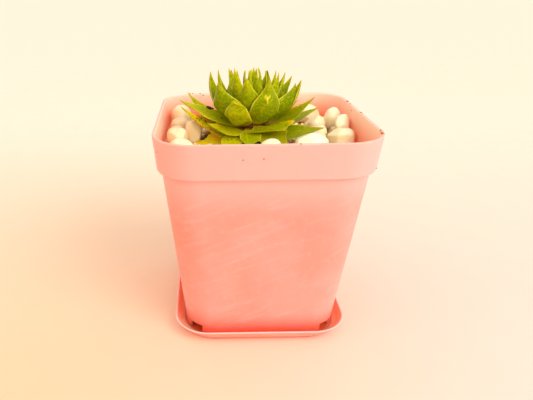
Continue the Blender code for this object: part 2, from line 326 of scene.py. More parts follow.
def squarePoint(half, corner, z, step):
    # steps run anticlockwise: each quarter is a corner arc and the flat side that follows it
    quarter, part = divmod(step, quarterSteps)
    turn = math.pi / 2 * quarter
    middle = half - corner
    if part <= pot["arcSteps"]:
        angle = math.pi / 2 * part / pot["arcSteps"]
        x, y = middle + corner * math.cos(angle), middle + corner * math.sin(angle)
    else:
        share = pot["sideSteps"][part - pot["arcSteps"] - 1]
        x, y = middle - 2 * middle * share, half
    cos, sin = math.cos(turn), math.sin(turn)
    return Vector((x * cos - y * sin, x * sin + y * cos, z)) * mm


def squareRing(form, half, corner, z):
    return [form.verts.new(squarePoint(half, corner, z, step)) for step in range(4 * quarterSteps)]


def softProfile(points):
    # each point is (half width, plan corner, height, edge radius); edges become small arcs
    rows = []
    count = len(points)
    for i, point in enumerate(points):
        here = Vector(point[:3])
        before, after = Vector(points[i - 1][:3]), Vector(points[(i + 1) % count][:3])
        if point[3] == 0:
            rows.append(here)
            continue
        edge, share = point[3], pot["edgeShare"]
        start = here + (before - here).normalized() * min(edge, (before - here).length * share)
        end = here + (after - here).normalized() * min(edge, (after - here).length * share)
        for k in range(pot["edgeSteps"] + 1):
            t = k / pot["edgeSteps"]
            rows.append(start * (1 - t) ** 2 + here * 2 * t * (1 - t) + end * t * t)
    full = []
    for i, row in enumerate(rows):
        full.append(row)
        gap = rows[(i + 1) % len(rows)] - row
        if i + 1 < len(rows) and gap.length > 2.0:
            margin = pot["flatMargin"] / gap.length
            spare = max(1, int(gap.length / pot["flatStep"]))
            for k in range(spare + 1):
                full.append(row + gap * (margin + (1 - 2 * margin) * k / spare))
    return full


def loftSquare(rows):
    form = bmesh.new()
    rings = [squareRing(form, *row) for row in rows]
    joinRings(form, rings)
    for ring in (rings[0], rings[-1]):
        closeFlat(form, ring)
    bmesh.ops.recalc_face_normals(form, faces=form.faces)
    return form


def closeFlat(form, ring):
    # a flat floor as shrinking rings, so that it has no long thin faces
    middle = sum((v.co for v in ring), Vector()) / len(ring)
    rings = [ring]
    for share in pot["floorShares"]:
        rings.append([form.verts.new(middle + (v.co - middle) * share) for v in ring])
    joinRings(form, rings)
    joinTip(form, rings[-1], form.verts.new(middle))


def plasticMaterial(name, look):
    material, place = newMaterial(name)
    broad = cloud(place, 38.0, 2.0)
    fine = cloud(place, 420.0, 4.0, 0.6)
    strokes = {"Vector": place, "Rotation": plastic["strokeTurn"], "Scale": plastic["strokeSize"]}
    brushed = cloud(addBeside(place, "ShaderNodeMapping", strokes, vector_type="TEXTURE"), 190.0, 3.0, 0.6)
    height = axis(place, 2)
    outside = coats(
        look["deepColour"],
        (broad, 0.0, 1.0, 0.35, 0.65, look["colour"]),
        (fine, 0.0, 0.5, 0.5, 0.8, look["paleColour"]),
        (brushed, 0.0, 0.55, 0.52, 0.72, look["paleColour"]),
        # painted light: paler towards the top of the pot, a highlight on the saucer's lip
        (height, 0.0, 1.0, *look["bandLitRise"], look["bandLitColour"]),
        # painted shade: deep red towards the bottom
        (height, 1.0, 0.0, *look["footShadeRise"], look["footShadeColour"]),
    )
    # painted light and shade on the inner walls: red in shade low down, paler higher up
    inside = coats(look["insideShadeColour"], (height, 0.0, 1.0, *plastic["insideShadeRise"], look["insideLitColour"]))
    colour = mixColour(mark(place, "inside"), outside, inside)
    bump = cloud(place, plastic["grain"]), 0.12, 0.2 * mm
    skin = look["skin"], plastic["skinRadius"], plastic["skinScale"]
    dress(colour, (fine, *look["rough"]), bump, skin, look["gloss"])
    return material


def markInside(mesh):
    # 1 where the surface faces the middle of the vessel, 0 outside
    values = []
    for vert, normal in zip(mesh.vertices, mesh.vertex_normals):
        flat = Vector((vert.co.x, vert.co.y))
        facing = -flat.normalized().dot(normal.vector.to_2d()) if flat.length > 1e-6 else normal.vector.z
        values.append(clamp(facing * 2.0))
    # the share that lays the painted light and shade of the inner walls
    addFloats(mesh, "inside", values)


def bodyAt(z):
    share = (z - pot["footZ"]) / (pot["bandZ"] - pot["footZ"])
    half = pot["footHalf"] + (pot["neckHalf"] - pot["footHalf"]) * share
    return half, pot["footCorner"] + (pot["neckCorner"] - pot["footCorner"]) * share


def potRows():
    wall, bandZ, rimZ = pot["wall"], pot["bandZ"], pot["rimZ"]

    def outer(z, edge):
        half, corner = bodyAt(z)
        return half, corner, z, edge

    def inner(z, edge):
        half, corner = bodyAt(z)
        return half - wall, corner - wall, z, edge

    ledgeZ = bandZ + wall + 0.3
    rimIn = pot["rimHalf"] - wall
    return softProfile((
        inner(pot["floorZ"], 0),
        inner(pot["footZ"], 0.2),
        outer(pot["footZ"], 0.35),
        outer(bandZ - 0.15, 0.5),
        (pot["bandFootHalf"] - 0.1, pot["rimCorner"] - 0.1, bandZ - 0.05, 0.55),
        (pot["rimHalf"], pot["rimCorner"], rimZ, 0.42),
        (rimIn, pot["rimCorner"] - wall, rimZ, 0.42),
        (pot["bandFootHalf"] - wall, pot["rimCorner"] - wall, ledgeZ, 0.8),
        (pot["neckHalf"] - wall, pot["neckCorner"] - wall, ledgeZ - 0.5, 0.6),
        inner(pot["floorZ"] + wall, 1.2),
    ))


def cutWith(piece, cutters):
    made = []
    for form in cutters:
        cutter = newPiece("cutter", formToMesh("cutter", form, False))
        boolean = piece.modifiers.new("cut", "BOOLEAN")
        boolean.operation = "DIFFERENCE"
        boolean.object = cutter
        made.append(cutter)
    bakeModifiers(piece)
    for cutter in made:
        bpy.data.objects.remove(cutter)


def finishVessel(name, form, look, cutters=()):
    label = name + "_shell"
    piece = newPiece(label, formToMesh(label, form), plasticMaterial(name + "Plastic", look))
    if cutters:
        cutWith(piece, cutters)
        piece.data.shade_smooth()
    piece.data.set_sharp_from_angle(angle=pot["creaseAngle"])
    markInside(piece.data)
    finishPiece(piece, name, name)
    print(name + ":", len(piece.data.polygons), "faces")


def makePot():
    notches, drains = bmesh.new(), bmesh.new()
    reach = pot["notchReach"]
    middle = pot["notchInner"] + reach
    for sideX in (-1, 1):
        for sideY in (-1, 1):
            made = bmesh.ops.create_cube(notches, size=2 * reach * mm)["verts"]
            place = Vector((sideX * middle, sideY * middle, pot["floorZ"] - pot["notchGap"] - reach))
            bmesh.ops.translate(notches, vec=place * mm, verts=made)
    radius = pot["drainRadius"] * mm
    shape = {"radius1": radius, "radius2": radius, "depth": pot["drainDepth"] * mm, "cap_ends": True}
    for x, y in pot["drainSpots"]:
        made = bmesh.ops.create_cone(drains, segments=pot["drainSides"], **shape)
        bmesh.ops.translate(drains, vec=Vector((x, y, pot["floorZ"])) * mm, verts=made["verts"])
    finishVessel("pot", loftSquare(potRows()), pot, (notches, drains))


def makeSaucer():
    wall, lip, corner = saucer["wall"], saucer["lipHalf"], saucer["corner"]
    foot, height = saucer["footHalf"], saucer["height"]
    inCorner = corner - wall
    middle = (foot + lip) / 2
    rows = softProfile((
        (foot - 0.6, corner - 0.6, 0.0, 0.5),
        (foot + 0.1, corner, 0.7, 0.6),
        (middle, corner, height * 0.5, 0.8),
        (lip, corner, height, 0.4),
        (lip - wall, inCorner, height, 0.4),
        (middle - wall, inCorner, height * 0.5, 0.8),
        (foot - wall - 0.1, inCorner, saucer["floor"], 0.9),
    ))
    finishVessel("saucer", loftSquare(rows), saucer)


# leaves, read from the frame and made again with a fine surface; ripple and sway in millimetres
leafLook = {
    "rows": 30,
    "across": 12,
    "keel": 0.12,
    "ripple": 0.16,
    "rippleRate": 5.0,
    "clasp": 0.8,
    "claspEnd": 0.5,
    "tipTaper": 0.5,
    "taperFrom": 0.5,
    "taperOver": 0.3,
    "firstCupLeaf": 17,
    "upperCrown": 2.0,
    "underCrown": 1.7,
    "rowCrowding": 1.25,
    "sway": 0.25,
    "swayRate": 3.0,
    "frayRate": 26.0,
    "bandEnd": 0.08,
    "bandRate": 14,
    "creaseAngle": math.radians(65),
    # shares of pale green for lower and cup leaves, partly painted light: more on the lower leaves, which
    # sit in shade
    "lowerPale": (0.3, 0.65),
    "cupPale": (0.0, 0.25),
    "lowerTip": 1.0,
    "cupTip": 0.3,
    "scarWidth": 0.05,
    "scarMiddle": (0.39, 0.70),
    "scarEnds": ((0.25, 0.735), (0.52, 0.74), (0.42, 0.645)),
    "green": (0.22, 0.285, 0.0008, 1),
    "deepGreen": (0.086, 0.167, 0.0005, 1),
    "lightGreen": (0.53, 0.50, 0.0012, 1),
    "margin": (0.86, 0.80, 0.045, 1),
    "tipBrown": (0.55, 0.29, 0.01, 1),
    # the red at the base is partly the leaf's own colour, partly painted shade where leaves overlap
    "baseRedShade": (0.30, 0.11, 0.006, 1),
    "basePale": (0.66, 0.52, 0.006, 1),
    "dry": (0.90, 0.53, 0.006, 1),
    "oldGreen": (0.30, 0.26, 0.004, 1),
    "deadTip": (0.045, 0.018, 0.006, 1),
    "dryBrown": (0.30, 0.13, 0.008, 1),
}
# what a leaf has unless its touches say more: how full its base is, how fine its tip draws out, how
# far its middle swells, the share taken off one side, how far its margin frays in millimetres, and
# shares of pale green that is partly painted light, brown at the tip, dark green that is painted
# shade, old green, a dead tip and the scar
plainLeaf = {
    "fullness": 1.0,
    "taper": 1.0,
    "belly": 0.0,
    "trim": 0.0,
    "rough": 0.0,
    "pale": None,
    "tip": None,
    "deep": 0.0,
    "old": 0.0,
    "deadTip": 0.0,
    "scar": 0.0,
}
# single leaves: the above, and roll about the midrib and lean about the leaf's own normal in
# degrees, and slip of the base sideways in millimetres
leafTouches = {
    "leaf_01": {"trim": 0.5, "pale": 0.9},
    "leaf_02": {"deep": 0.25},
    "leaf_04": {"pale": 1.0},
    "leaf_05": {"deep": 0.3},
    "leaf_07": {"belly": 0.35, "pale": 0.35, "old": 0.6},
    "leaf_09": {"pale": 1.0},
    "leaf_12": {"pale": 0.35},
    "leaf_15": {
        "fullness": 0.1, "taper": 0.9, "belly": 0.35, "rough": 1.1, "tip": 0.3, "roll": -18, "lean": -40,
    },
    "leaf_17": {
        "fullness": 0.1, "taper": 0.1, "belly": 0.2, "trim": -0.32, "tip": 0.0, "lean": -14, "slip": -1.0,
    },
    "leaf_20": {"fullness": 1.15, "taper": 0.6, "pale": 0.0, "deep": 0.3, "scar": 1.0},
    "leaf_22": {"fullness": 1.3, "taper": 0.8, "belly": 0.3, "roll": 25, "deep": 0.45},
    "leaf_23": {"fullness": 1.2, "belly": 0.25, "roll": -25, "deep": 0.65},
    "leaf_25": {"fullness": 1.1, "taper": 0.7},
    "leaf_34": {"deadTip": 1.0},
    "leaf_withered": {"belly": 0.3, "roll": -35, "rough": 1.2},
}
# dried bands: side of the leaf, from and to along it, and how deep the band goes in
driedBands = {
    "leaf_01": ((-1, 0.4, 0.8, 0.3), (1, 0.36, 0.95, 0.35)),
    "leaf_09": ((-1, 0.35, 0.8, 0.16),),
    "leaf_10": ((1, 0.45, 0.8, 0.14),),
    "leaf_14": ((1, 0.5, 0.9, 0.14),),
    "leaf_15": ((1, 0.1, 0.75, 0.10),),
}
tiny = 1e-6


def spline(places, values, x):
    # smooth curve through the values, which may be numbers or vectors
    count = len(places)
    k = max(0, min(count - 2, next((i for i in range(count - 1) if x <= places[i + 1]), count - 2)))

    def slope(i):
        low, high = max(0, i - 1), min(count - 1, i + 1)
        return (values[high] - values[low]) * (1 / (places[high] - places[low]))

    width = places[k + 1] - places[k]
    t = (x - places[k]) / width
    return (
        values[k] * (2 * t**3 - 3 * t**2 + 1)
        + slope(k) * (width * (t**3 - 2 * t**2 + t))
        + values[k + 1] * (3 * t**2 - 2 * t**3)
        + slope(k + 1) * (width * (t**3 - t**2))
    )


def spanOf(ends, sideways):
    # how far apart two points are; of two equal spans the one that runs sideways counts as longer
    way = ends[1] - ends[0]
    return way.length + tiny * way.dot(sideways)


def readLeaf(nodeName):
    # the rings of the solid, from base to tip: middle, way to the margin, crown above and below
    form = mergedForm(nodeName)
    foot = Vector((rosette.x, rosette.y, min(v.co.z for v in form.verts)))
    tip = max(form.verts, key=lambda v: (v.co - foot).length)
    outward = tip.co - foot
    outward.z = 0
    outward.normalize()
    sideways = Vector((-outward.y, outward.x, 0))
    rings, seen, front = [], {tip}, [tip]
    while front:
        rings.append([v.co.copy() for v in front])
        nextRing = {e.other_vert(v) for v in front for e in v.link_edges} - seen
        seen |= nextRing
        front = sorted(nextRing, key=lambda v: v.index)
    form.free()
    rings.reverse()
    middles, widths = [], []
    for ring in rings:
        pairs = [(a, b) for a in ring for b in ring]
        low, high = max(pairs, key=lambda ends: spanOf(ends, sideways))
        middles.append((low + high) / 2)
        widths.append((high - low) / 2)
    last = len(rings) - 1
    alongs = [middles[min(i + 1, last)] - middles[max(i - 1, 0)] for i in range(len(rings))]
    tops, unders = [], []
    for ring, middle, width, along in zip(rings, middles, widths, alongs):
        upper = along.cross(width if width.length > tiny else sideways)
        inner = sorted(ring, key=lambda p: abs((p - middle).dot(width)))[:2]
        inner.sort(key=lambda p: p.dot(upper))
        unders.append(inner[0] - middle)
        tops.append(inner[-1] - middle)
    touches = leafTouches.get(nodeName, {})
    roll, lean, slip = (touches.get(key, 0.0) for key in ("roll", "lean", "slip"))
    for i, along in enumerate(alongs):
        twist = Matrix.Rotation(math.radians(roll), 3, along)
        widths[i], tops[i], unders[i] = twist @ widths[i], twist @ tops[i], twist @ unders[i]
        if widths[i].length > tiny:
            widths[i] = Matrix.Rotation(math.radians(lean), 3, along.cross(widths[i])) @ widths[i]
        middles[i] = middles[i] + sideways * (slip * mm * (1 - i / last))
    lengths = [0.0]
    for a, b in zip(middles, middles[1:]):
        lengths.append(lengths[-1] + (b - a).length)
    seed = nameNumber(nodeName)
    return {
        "name": nodeName,
        "places": [d / lengths[-1] for d in lengths],
        "middles": middles,
        "widths": widths,
        "tops": tops,
        "unders": unders,
        "sideways": sideways,
        "outward": outward,
        "seed": Vector((seed, 3.1 * seed, 1.7)),
        **plainLeaf,
        **touches,
    }


def nameNumber(text):
    return sum((i + 1) * ord(c) for i, c in enumerate(text)) % 97 / 7.0


def widthShare(leaf, t):
    # the skin clasps the stem more broadly than the solid does, and draws out to a finer tip
    base = 1 + leafLook["clasp"] * leaf["fullness"] * max(0.0, 1 - t / leafLook["claspEnd"]) ** 1.2
    belly = 1 + leaf["belly"] * math.sin(math.pi * t) ** 2
    drawn = softStep((t - leafLook["taperFrom"]) / leafLook["taperOver"])
    return base * belly * (1 - leafLook["tipTaper"] * leaf["taper"] * drawn)


def leafPoint(leaf, u, t, under=False):
    # u runs from -1 to 1 across the leaf and t from 0 to 1 along it
    places = leaf["places"]
    middle = spline(places, leaf["middles"], t)
    width = spline(places, leaf["widths"], t) * widthShare(leaf, t)
    crown = spline(places, leaf["unders" if under else "tops"], t)
    rise = 1 - abs(u) ** leafLook["underCrown" if under else "upperCrown"]
    if under:
        crown = crown * (1 + leafLook["keel"])
    side = u
    if u * leaf["trim"] > 0:
        side = u * (1 - abs(leaf["trim"]) * softStep((t - 0.1) / 0.45))
    point = middle + width * side + crown * rise

    def chanceAt(rate, y, z):
        return noise.noise(leaf["seed"] + Vector((t * leafLook[rate], y, z)))

    wave = chanceAt("rippleRate", 0.7 * u, 0) * leafLook["ripple"] * mm
    sway = chanceAt("swayRate", 9.0, 0) * leafLook["sway"] * mm
    if width.length > tiny:
        fray = chanceAt("frayRate", u, 3.0) * leaf["rough"] * abs(u) ** 6 * mm
        point = point + width.normalized() * (fray * (1 if u > 0 else -1))
    upper = leaf["sideways"].cross(leaf["outward"])
    fade = math.sin(math.pi * min(1.0, t * 1.02)) if t < 0.98 else 0.0
    return point + upper * (wave * abs(u) ** 3 * fade * 2) + leaf["sideways"] * (sway * fade)


def addRing(form, maps, cells, t, pointAt):
    # a ring of points round a leaf; maps keeps the place of each across and along the leaf
    ring = []
    for u, under in cells:
        vert = form.verts.new(pointAt(u, t, under))
        maps[vert] = (0.5 + 0.5 * u, t)
        ring.append(vert)
    return ring


def ringCells(crosses):
    # over the upper side, and back along the lower side
    return [(u, False) for u in crosses] + [(u, True) for u in crosses[-2:0:-1]]


def closeLeaf(form, layer, maps, rings, tipPoint):
    tip = form.verts.new(tipPoint)
    maps[tip] = (0.5, 1.0)
    joinRings(form, rings)
    joinTip(form, rings[-1], tip)
    form.faces.new(rings[0])
    for face in form.faces:
        for loop in face.loops:
            loop[layer].uv = maps[loop.vert]
    bmesh.ops.recalc_face_normals(form, faces=form.faces)


def leafForm(leaf):
    across, rows = leafLook["across"], leafLook["rows"]
    form = bmesh.new()
    layer = form.loops.layers.uv.new("leafMap")
    cells = ringCells([math.sin(math.pi / 2 * (2 * k / across - 1)) for k in range(across + 1)])
    maps = {}
    places = [1 - (1 - row / rows) ** leafLook["rowCrowding"] for row in range(rows)]
    rings = [addRing(form, maps, cells, t, lambda *at: leafPoint(leaf, *at)) for t in places]
    closeLeaf(form, layer, maps, rings, leafPoint(leaf, 0, 1.0))
    return form, maps


def dryness(leaf, u, t):
    most = 0.0
    for side, start, end, depth in driedBands.get(leaf["name"], ()):
        fade = leafLook["bandEnd"]
        along = clamp((t - start) / fade) * clamp((end - t) / fade)
        ragged = 0.5 + 0.5 * noise.noise(leaf["seed"] + Vector((t * leafLook["bandRate"], u * 2, 5)))
        inward = (1 - side * u) / (2 * depth * (0.6 + 0.8 * ragged))
        most = max(most, along * clamp(1.4 - inward))
    return most


def strokeShare(u, v, start, end):
    # how near a place on the leaf is to a short stroke, both measured across and along the leaf
    aim = Vector(end) - Vector(start)
    offU, offV = minus(u, start[0]), minus(v, start[1])
    dot = plus(times(offU, aim.x), times(offV, aim.y))
    share = ramp(maths("DIVIDE", dot, aim.length_squared), 0.0, 1.0)
    leftU, leftV = minus(offU, times(share, aim.x)), minus(offV, times(share, aim.y))
    away = maths("SQRT", plus(times(leftU, leftU), times(leftV, leftV)))
    return ramp(away, 1.0, 0.0, 0.0, leafLook["scarWidth"])


def markCoat(place, colour, name, shareRamp, over):
    # a colour that shows only on leaves with this mark, there by a share that follows a value
    return mixColour(times(mark(place, name), ramp(*shareRamp)), colour, over)


def leafMaterial():
    material, place = newMaterial("leafSkin")
    leafMap = addBeside(place, "ShaderNodeUVMap", uv_map="leafMap")
    u, v = axis(leafMap, 0), axis(leafMap, 1)
    look = leafLook
    green, lightGreen, deepGreen = look["green"], look["lightGreen"], look["deepGreen"]
    edge = maths("ABSOLUTE", minus(times(u, 2.0), 1.0))
    streak = cloud(stretched(leafMap, (14.0, 1.6, 1.0)), 3.0)
    mottle = cloud(place, 900.0, 3.0, 0.6)
    patch = cloud(place, 330.0, 2.0)
    colour = coats(
        deepGreen,
        (v, 0.65, 1.0, 0.1, 0.6, green),
        (cloud(place, 110.0, 2.0), 0.0, 0.6, 0.4, 0.65, green),
        (patch, 0.0, 0.55, 0.48, 0.7, lightGreen),
        (streak, 0.0, 0.4, 0.5, 0.75, lightGreen),
        (edge, 0.0, 0.35, 0.6, 1.0, lightGreen),
        (v, 0.0, 0.6, 0.72, 1.0, lightGreen),
    )
    # partly painted light: a leaf's mark makes it paler green
    colour = mixColour(mark(place, "pale"), colour, lightGreen)
    # painted shade: a leaf's mark darkens it towards deep green
    colour = mixColour(mark(place, "deep"), colour, deepGreen)
    colour = coats(
        colour,
        (mottle, 0.0, 0.5, 0.5, 0.68, lightGreen),
        (mottle, 0.45, 0.0, 0.34, 0.48, deepGreen),
    )
    colour = markCoat(place, colour, "old", (patch, 0.3, 1.0, 0.4, 0.6), look["oldGreen"])
    colour = coats(
        colour,
        (v, 0.8, 0.0, 0.08, 0.3, look["basePale"]),
        # red at the base: partly the leaf's own colour, partly painted shade where leaves overlap
        (v, 0.9, 0.0, 0.02, 0.15, look["baseRedShade"]),
        (edge, 0.0, 0.85, 0.925, 0.98, look["margin"]),
    )
    colour = markCoat(place, colour, "tip", (v, 0.0, 0.9, 0.86, 0.97), look["tipBrown"])
    for end in look["scarEnds"]:
        stroke = times(strokeShare(u, v, look["scarMiddle"], end), mark(place, "scar"))
        colour = mixColour(times(stroke, 0.6), colour, look["margin"])
    dryTone = coats(look["dry"], (mottle, 0.0, 1.0, 0.5, 0.62, look["dryBrown"]))
    colour = mixColour(mark(place, "dry"), colour, dryTone)
    colour = markCoat(place, colour, "deadTip", (v, 0.0, 1.0, 0.84, 0.9), look["deadTip"])
    height = plus(times(mottle, 0.6), times(streak, 0.5))
    skin = 0.25, (0.8, 1.0, 0.02), 2 * mm
    inputs = dress(colour, (mottle, 0.38, 0.62), (height, 0.4, 0.4 * mm), skin, 0.14)
    inputs["Specular Tint"].default_value = (1.0, 0.9, 0.2, 1)
    return material


def makeLeaves():
    material = leafMaterial()
    names = sorted(n for n in frame["nodes"] if n.startswith("leaf_") and n != "leaf_withered")
    chance = random.Random(7)
    leaves = []
    for name in names:
        leaf = readLeaf(name)
        form, maps = leafForm(leaf)
        dry = [dryness(leaf, 2 * maps[v][0] - 1, maps[v][1]) for v in form.verts]
        piece = addPiece(name + "_skin", form, material, "leaf", name)
        mesh = piece.data
        kind = "lower" if int(name[-2:]) < leafLook["firstCupLeaf"] else "cup"
        # lower leaves get more pale green, partly painted light for their shade
        pale = chance.uniform(*leafLook[kind + "Pale"])
        leaf["pale"] = pale if leaf["pale"] is None else leaf["pale"]
        leaf["tip"] = leafLook[kind + "Tip"] if leaf["tip"] is None else leaf["tip"]
        addFloats(mesh, "dry", dry)
        for label in ("pale", "tip", "deep", "old", "deadTip", "scar"):
            addFloats(mesh, label, leaf[label])
        mesh.set_sharp_from_angle(angle=leafLook["creaseAngle"])
        leaves.append(leaf)
    print("leaves:", len(leaves))
    return leaves


withered = {
    "amber": (1.0, 0.60, 0.002, 1),
    "yellow": (1.0, 0.80, 0.01, 1),
    "brown": (0.5, 0.22, 0.006, 1),
}


def makeWitheredLeaf():
    material, place = newMaterial("witheredLeaf")
    mottle = cloud(place, 380.0, 4.0, 0.6)
    colour = coats(
        withered["amber"],
        (cloud(place, 150.0, 2.0), 0.0, 1.0, 0.4, 0.6, withered["yellow"]),
        (mottle, 0.0, 0.5, 0.62, 0.75, withered["brown"]),
    )
    skin = 0.25, (1.0, 0.5, 0.1), 1.5 * mm
    dress(colour, (mottle, 0.55, 0.85), (mottle, 0.6, 0.6 * mm), skin, 0.1)
    form, _ = leafForm(readLeaf("leaf_withered"))
    addPiece("withered_leaf_skin", form, material, "dry_leaf", "leaf_withered")
    print("withered leaf done")


# the fine hairs along every leaf's margin, in metres; from, reach, ahead and lastWidth are places
# along the leaf
hairs = {
    "spacing": 0.45 * mm,
    "length": 0.4 * mm,
    "width": 0.045 * mm,
    "jitter": 0.35,
    "sizes": (0.55, 1.15),
    "tipward": 0.7,
    "seed": 11,
    "steps": 26,
    "from": 0.14,
    "reach": 0.84,
    "ahead": 0.03,
    "lastWidth": 0.9,
    "colour": (0.84, 0.78, 0.05, 1),
    "paleColour": (0.92, 0.88, 0.16, 1),
}


def newTree(name, **kinds):
    # a node group with the named inputs of each kind, and the sockets of what goes in and what comes out
    tree = bpy.data.node_groups.new(name, "GeometryNodeTree")
    face = tree.interface
    face.new_socket("Geometry", in_out="INPUT", socket_type="NodeSocketGeometry")
    for kind, labels in kinds.items():
        for label in labels.split():
            face.new_socket(label, in_out="INPUT", socket_type="NodeSocket" + kind)
    face.new_socket("Geometry", in_out="OUTPUT", socket_type="NodeSocketGeometry")
    return tree, tree.nodes.new("NodeGroupInput").outputs, tree.nodes.new("NodeGroupOutput").inputs


def applyTree(piece, tree, **values):
    modifier = piece.modifiers.new(tree.name, "NODES")
    modifier.node_group = tree
    for item in tree.interface.items_tree:
        if item.in_out == "INPUT" and item.name in values:
            modifier[item.identifier] = values[item.name]
    return bakeModifiers(piece)


def chanceBetween(tree, low, high, seed):
    if isinstance(low, tuple):
        values = {"Min": low, "Max": high, "Seed": seed}
        return addNode(tree, "FunctionNodeRandomValue", values, data_type="FLOAT_VECTOR")
    values = {2: low, 3: high, "Seed": seed}
    return addNode(tree, "FunctionNodeRandomValue", values, 1, data_type="FLOAT")


def placeCopies(tree, result, points, shape, turn, size, material, **more):
    # a copy on each point, turned and sized, as real faces with their material
    values = {"Points": points, "Instance": shape, "Rotation": turn, "Scale": size, **more}
    placed = addNode(tree, "GeometryNodeInstanceOnPoints", values)
    real = addNode(tree, "GeometryNodeRealizeInstances", {0: placed})
    coloured = addNode(tree, "GeometryNodeSetMaterial", {0: real, "Material": material})
    tree.links.new(coloured, result["Geometry"])
    return tree


def hairTree():
    tree, given, result = newTree("marginHairs", Float="spacing length width", Int="seed", Material="skin")
    line = addNode(tree, "GeometryNodeMeshToCurve", {0: given["Geometry"]})
    values = {"Curve": line, "Length": given["spacing"]}
    points = addNode(tree, "GeometryNodeResampleCurve", values, mode="LENGTH")
    values = {"Vertices": 3, "Radius Top": 0.0, "Radius Bottom": given["width"], "Depth": given["length"]}
    hair = addNode(tree, "GeometryNodeMeshCone", values, "Mesh", fill_type="NONE")
    way = addNode(tree, "GeometryNodeInputNamedAttribute", {"Name": "hairWay"}, data_type="FLOAT_VECTOR")
    jitter = chanceBetween(tree, (-hairs["jitter"],) * 3, (hairs["jitter"],) * 3, given["seed"])
    lean = addNode(tree, "ShaderNodeVectorMath", {0: way, 1: jitter}, operation="ADD")
    turn = addNode(tree, "FunctionNodeAlignRotationToVector", {"Vector": lean}, axis="Z")
    size = chanceBetween(tree, *hairs["sizes"], given["seed"])
    return placeCopies(tree, result, points, hair, turn, size, given["skin"])


def hairWay(leaf, side, t, place):
    # outward from the margin and a little towards the tip
    ahead = leafPoint(leaf, side, min(1.0, t + hairs["ahead"])) - place
    outward = spline(leaf["places"], leaf["widths"], min(t, hairs["lastWidth"])).normalized() * side
    return (outward + ahead.normalized() * hairs["tipward"]).normalized()


def makeHairs(leaves):
    material, place = newMaterial("marginHair")
    tint = cloud(place, 300.0)
    colour = coats(hairs["colour"], (tint, 0.0, 1.0, 0.35, 0.65, hairs["paleColour"]))
    dress(colour, (tint, 0.45, 0.65), (tint, 0.2, 0.1 * mm), (0.5, (1.0, 0.9, 0.3), 1 * mm), 0.1)
    form = bmesh.new()
    ways = []
    for leaf in leaves:
        for side in (-1, 1):
            last = None
            for k in range(hairs["steps"] + 1):
                t = hairs["from"] + hairs["reach"] * k / hairs["steps"]
                vert = form.verts.new(leafPoint(leaf, side, t))
                ways.extend(hairWay(leaf, side, t, vert.co))
                if last:
                    form.edges.new((last, vert))
                last = vert
    mesh = formToMesh("leaf_hairs", form, False)
    mesh.attributes.new("hairWay", "FLOAT_VECTOR", "POINT").data.foreach_set("vector", ways)
    piece = newPiece("leaf_hairs", mesh)
    given = {key: hairs[key] for key in ("spacing", "length", "width", "seed")}
    applyTree(piece, hairTree(), skin=material, **given)
    finishPiece(piece, "leaf")
    print("hairs:", len(piece.data.polygons), "faces")


# soil: heights and reaches in millimetres; a bare spot has its place and its reach
soilLook = {
    "edgeZ": 80.3,
    "mound": 1.7,
    "spread": 34.0,
    "fit": 1.5,
    "rings": 30,
    "bottomGap": 0.3,
    "bottomEdge": 1.5,
    "middleZ": 40.0,
    "rough": 0.9,
    "lump": 0.5,
    "lumpScale": 420,
    "grain": 0.3,
    "grainScale": 1100,
    "bareSpots": ((-2.5, 1.0, 9.0), (-22.5, 9.0, 6.0), (-21.5, 34.5, 3.5)),
    "dark": (0.012, 0.007, 0.004, 1),
    "brown": (0.085, 0.04, 0.018, 1),
    "warm": (0.16, 0.08, 0.03, 1),
    # tan soil between the stones, and dark bare soil
    "betweenStonesTan": (0.62, 0.36, 0.16, 1),
    "betweenStonesBrown": (0.35, 0.17, 0.07, 1),
}


def soilHeight(x, y):
    away = math.hypot(x - rosette.x / mm, y - rosette.y / mm)
    return soilLook["edgeZ"] + soilLook["mound"] * max(0.0, 1 - (away / soilLook["spread"]) ** 2)


def soilMaterial():
    material, place = newMaterial("pottingSoil")
    grain = cloud(place, 900.0, 5.0, 0.7)
    bare = coats(
        soilLook["dark"],
        (grain, 0.0, 1.0, 0.35, 0.7, soilLook["brown"]),
        (cloud(place, 160.0), 0.0, 0.5, 0.5, 0.75, soilLook["warm"]),
    )
    # tan soil where the stones lie, dark on the bare spots
    betweenStones = coats(soilLook["betweenStonesTan"], (grain, 0.0, 0.6, 0.5, 0.7, soilLook["betweenStonesBrown"]))
    dress(mixColour(mark(place, "bare"), betweenStones, bare), (grain, 0.75, 1.0), (grain, 0.8, 0.8 * mm))
    return material


def bareShare(x, y):
    # one on bare soil, nothing between the stones; the place is in millimetres
    spots = (math.hypot(x - spotX, y - spotY) / reach for spotX, spotY, reach in soilLook["bareSpots"])
    return 1 - softStep((min(spots) - 0.9) / 0.4)


def soilRing(form, edge, share):
    # the outline drawn in to a share of itself, on the soil's lumpy surface
    ring = []
    for vert in edge:
        x, y = vert.co.x * share, vert.co.y * share
        lump = noise.noise(Vector((x, y, 0)) * soilLook["lumpScale"]) * soilLook["lump"]
        lump += noise.noise(Vector((x, y, 4)) * soilLook["grainScale"]) * soilLook["grain"]
        z = soilHeight(x / mm, y / mm) + lump * soilLook["rough"] * min(1.0, (1 - share) * 8)
        ring.append(form.verts.new((x, y, z * mm)))
    return ring


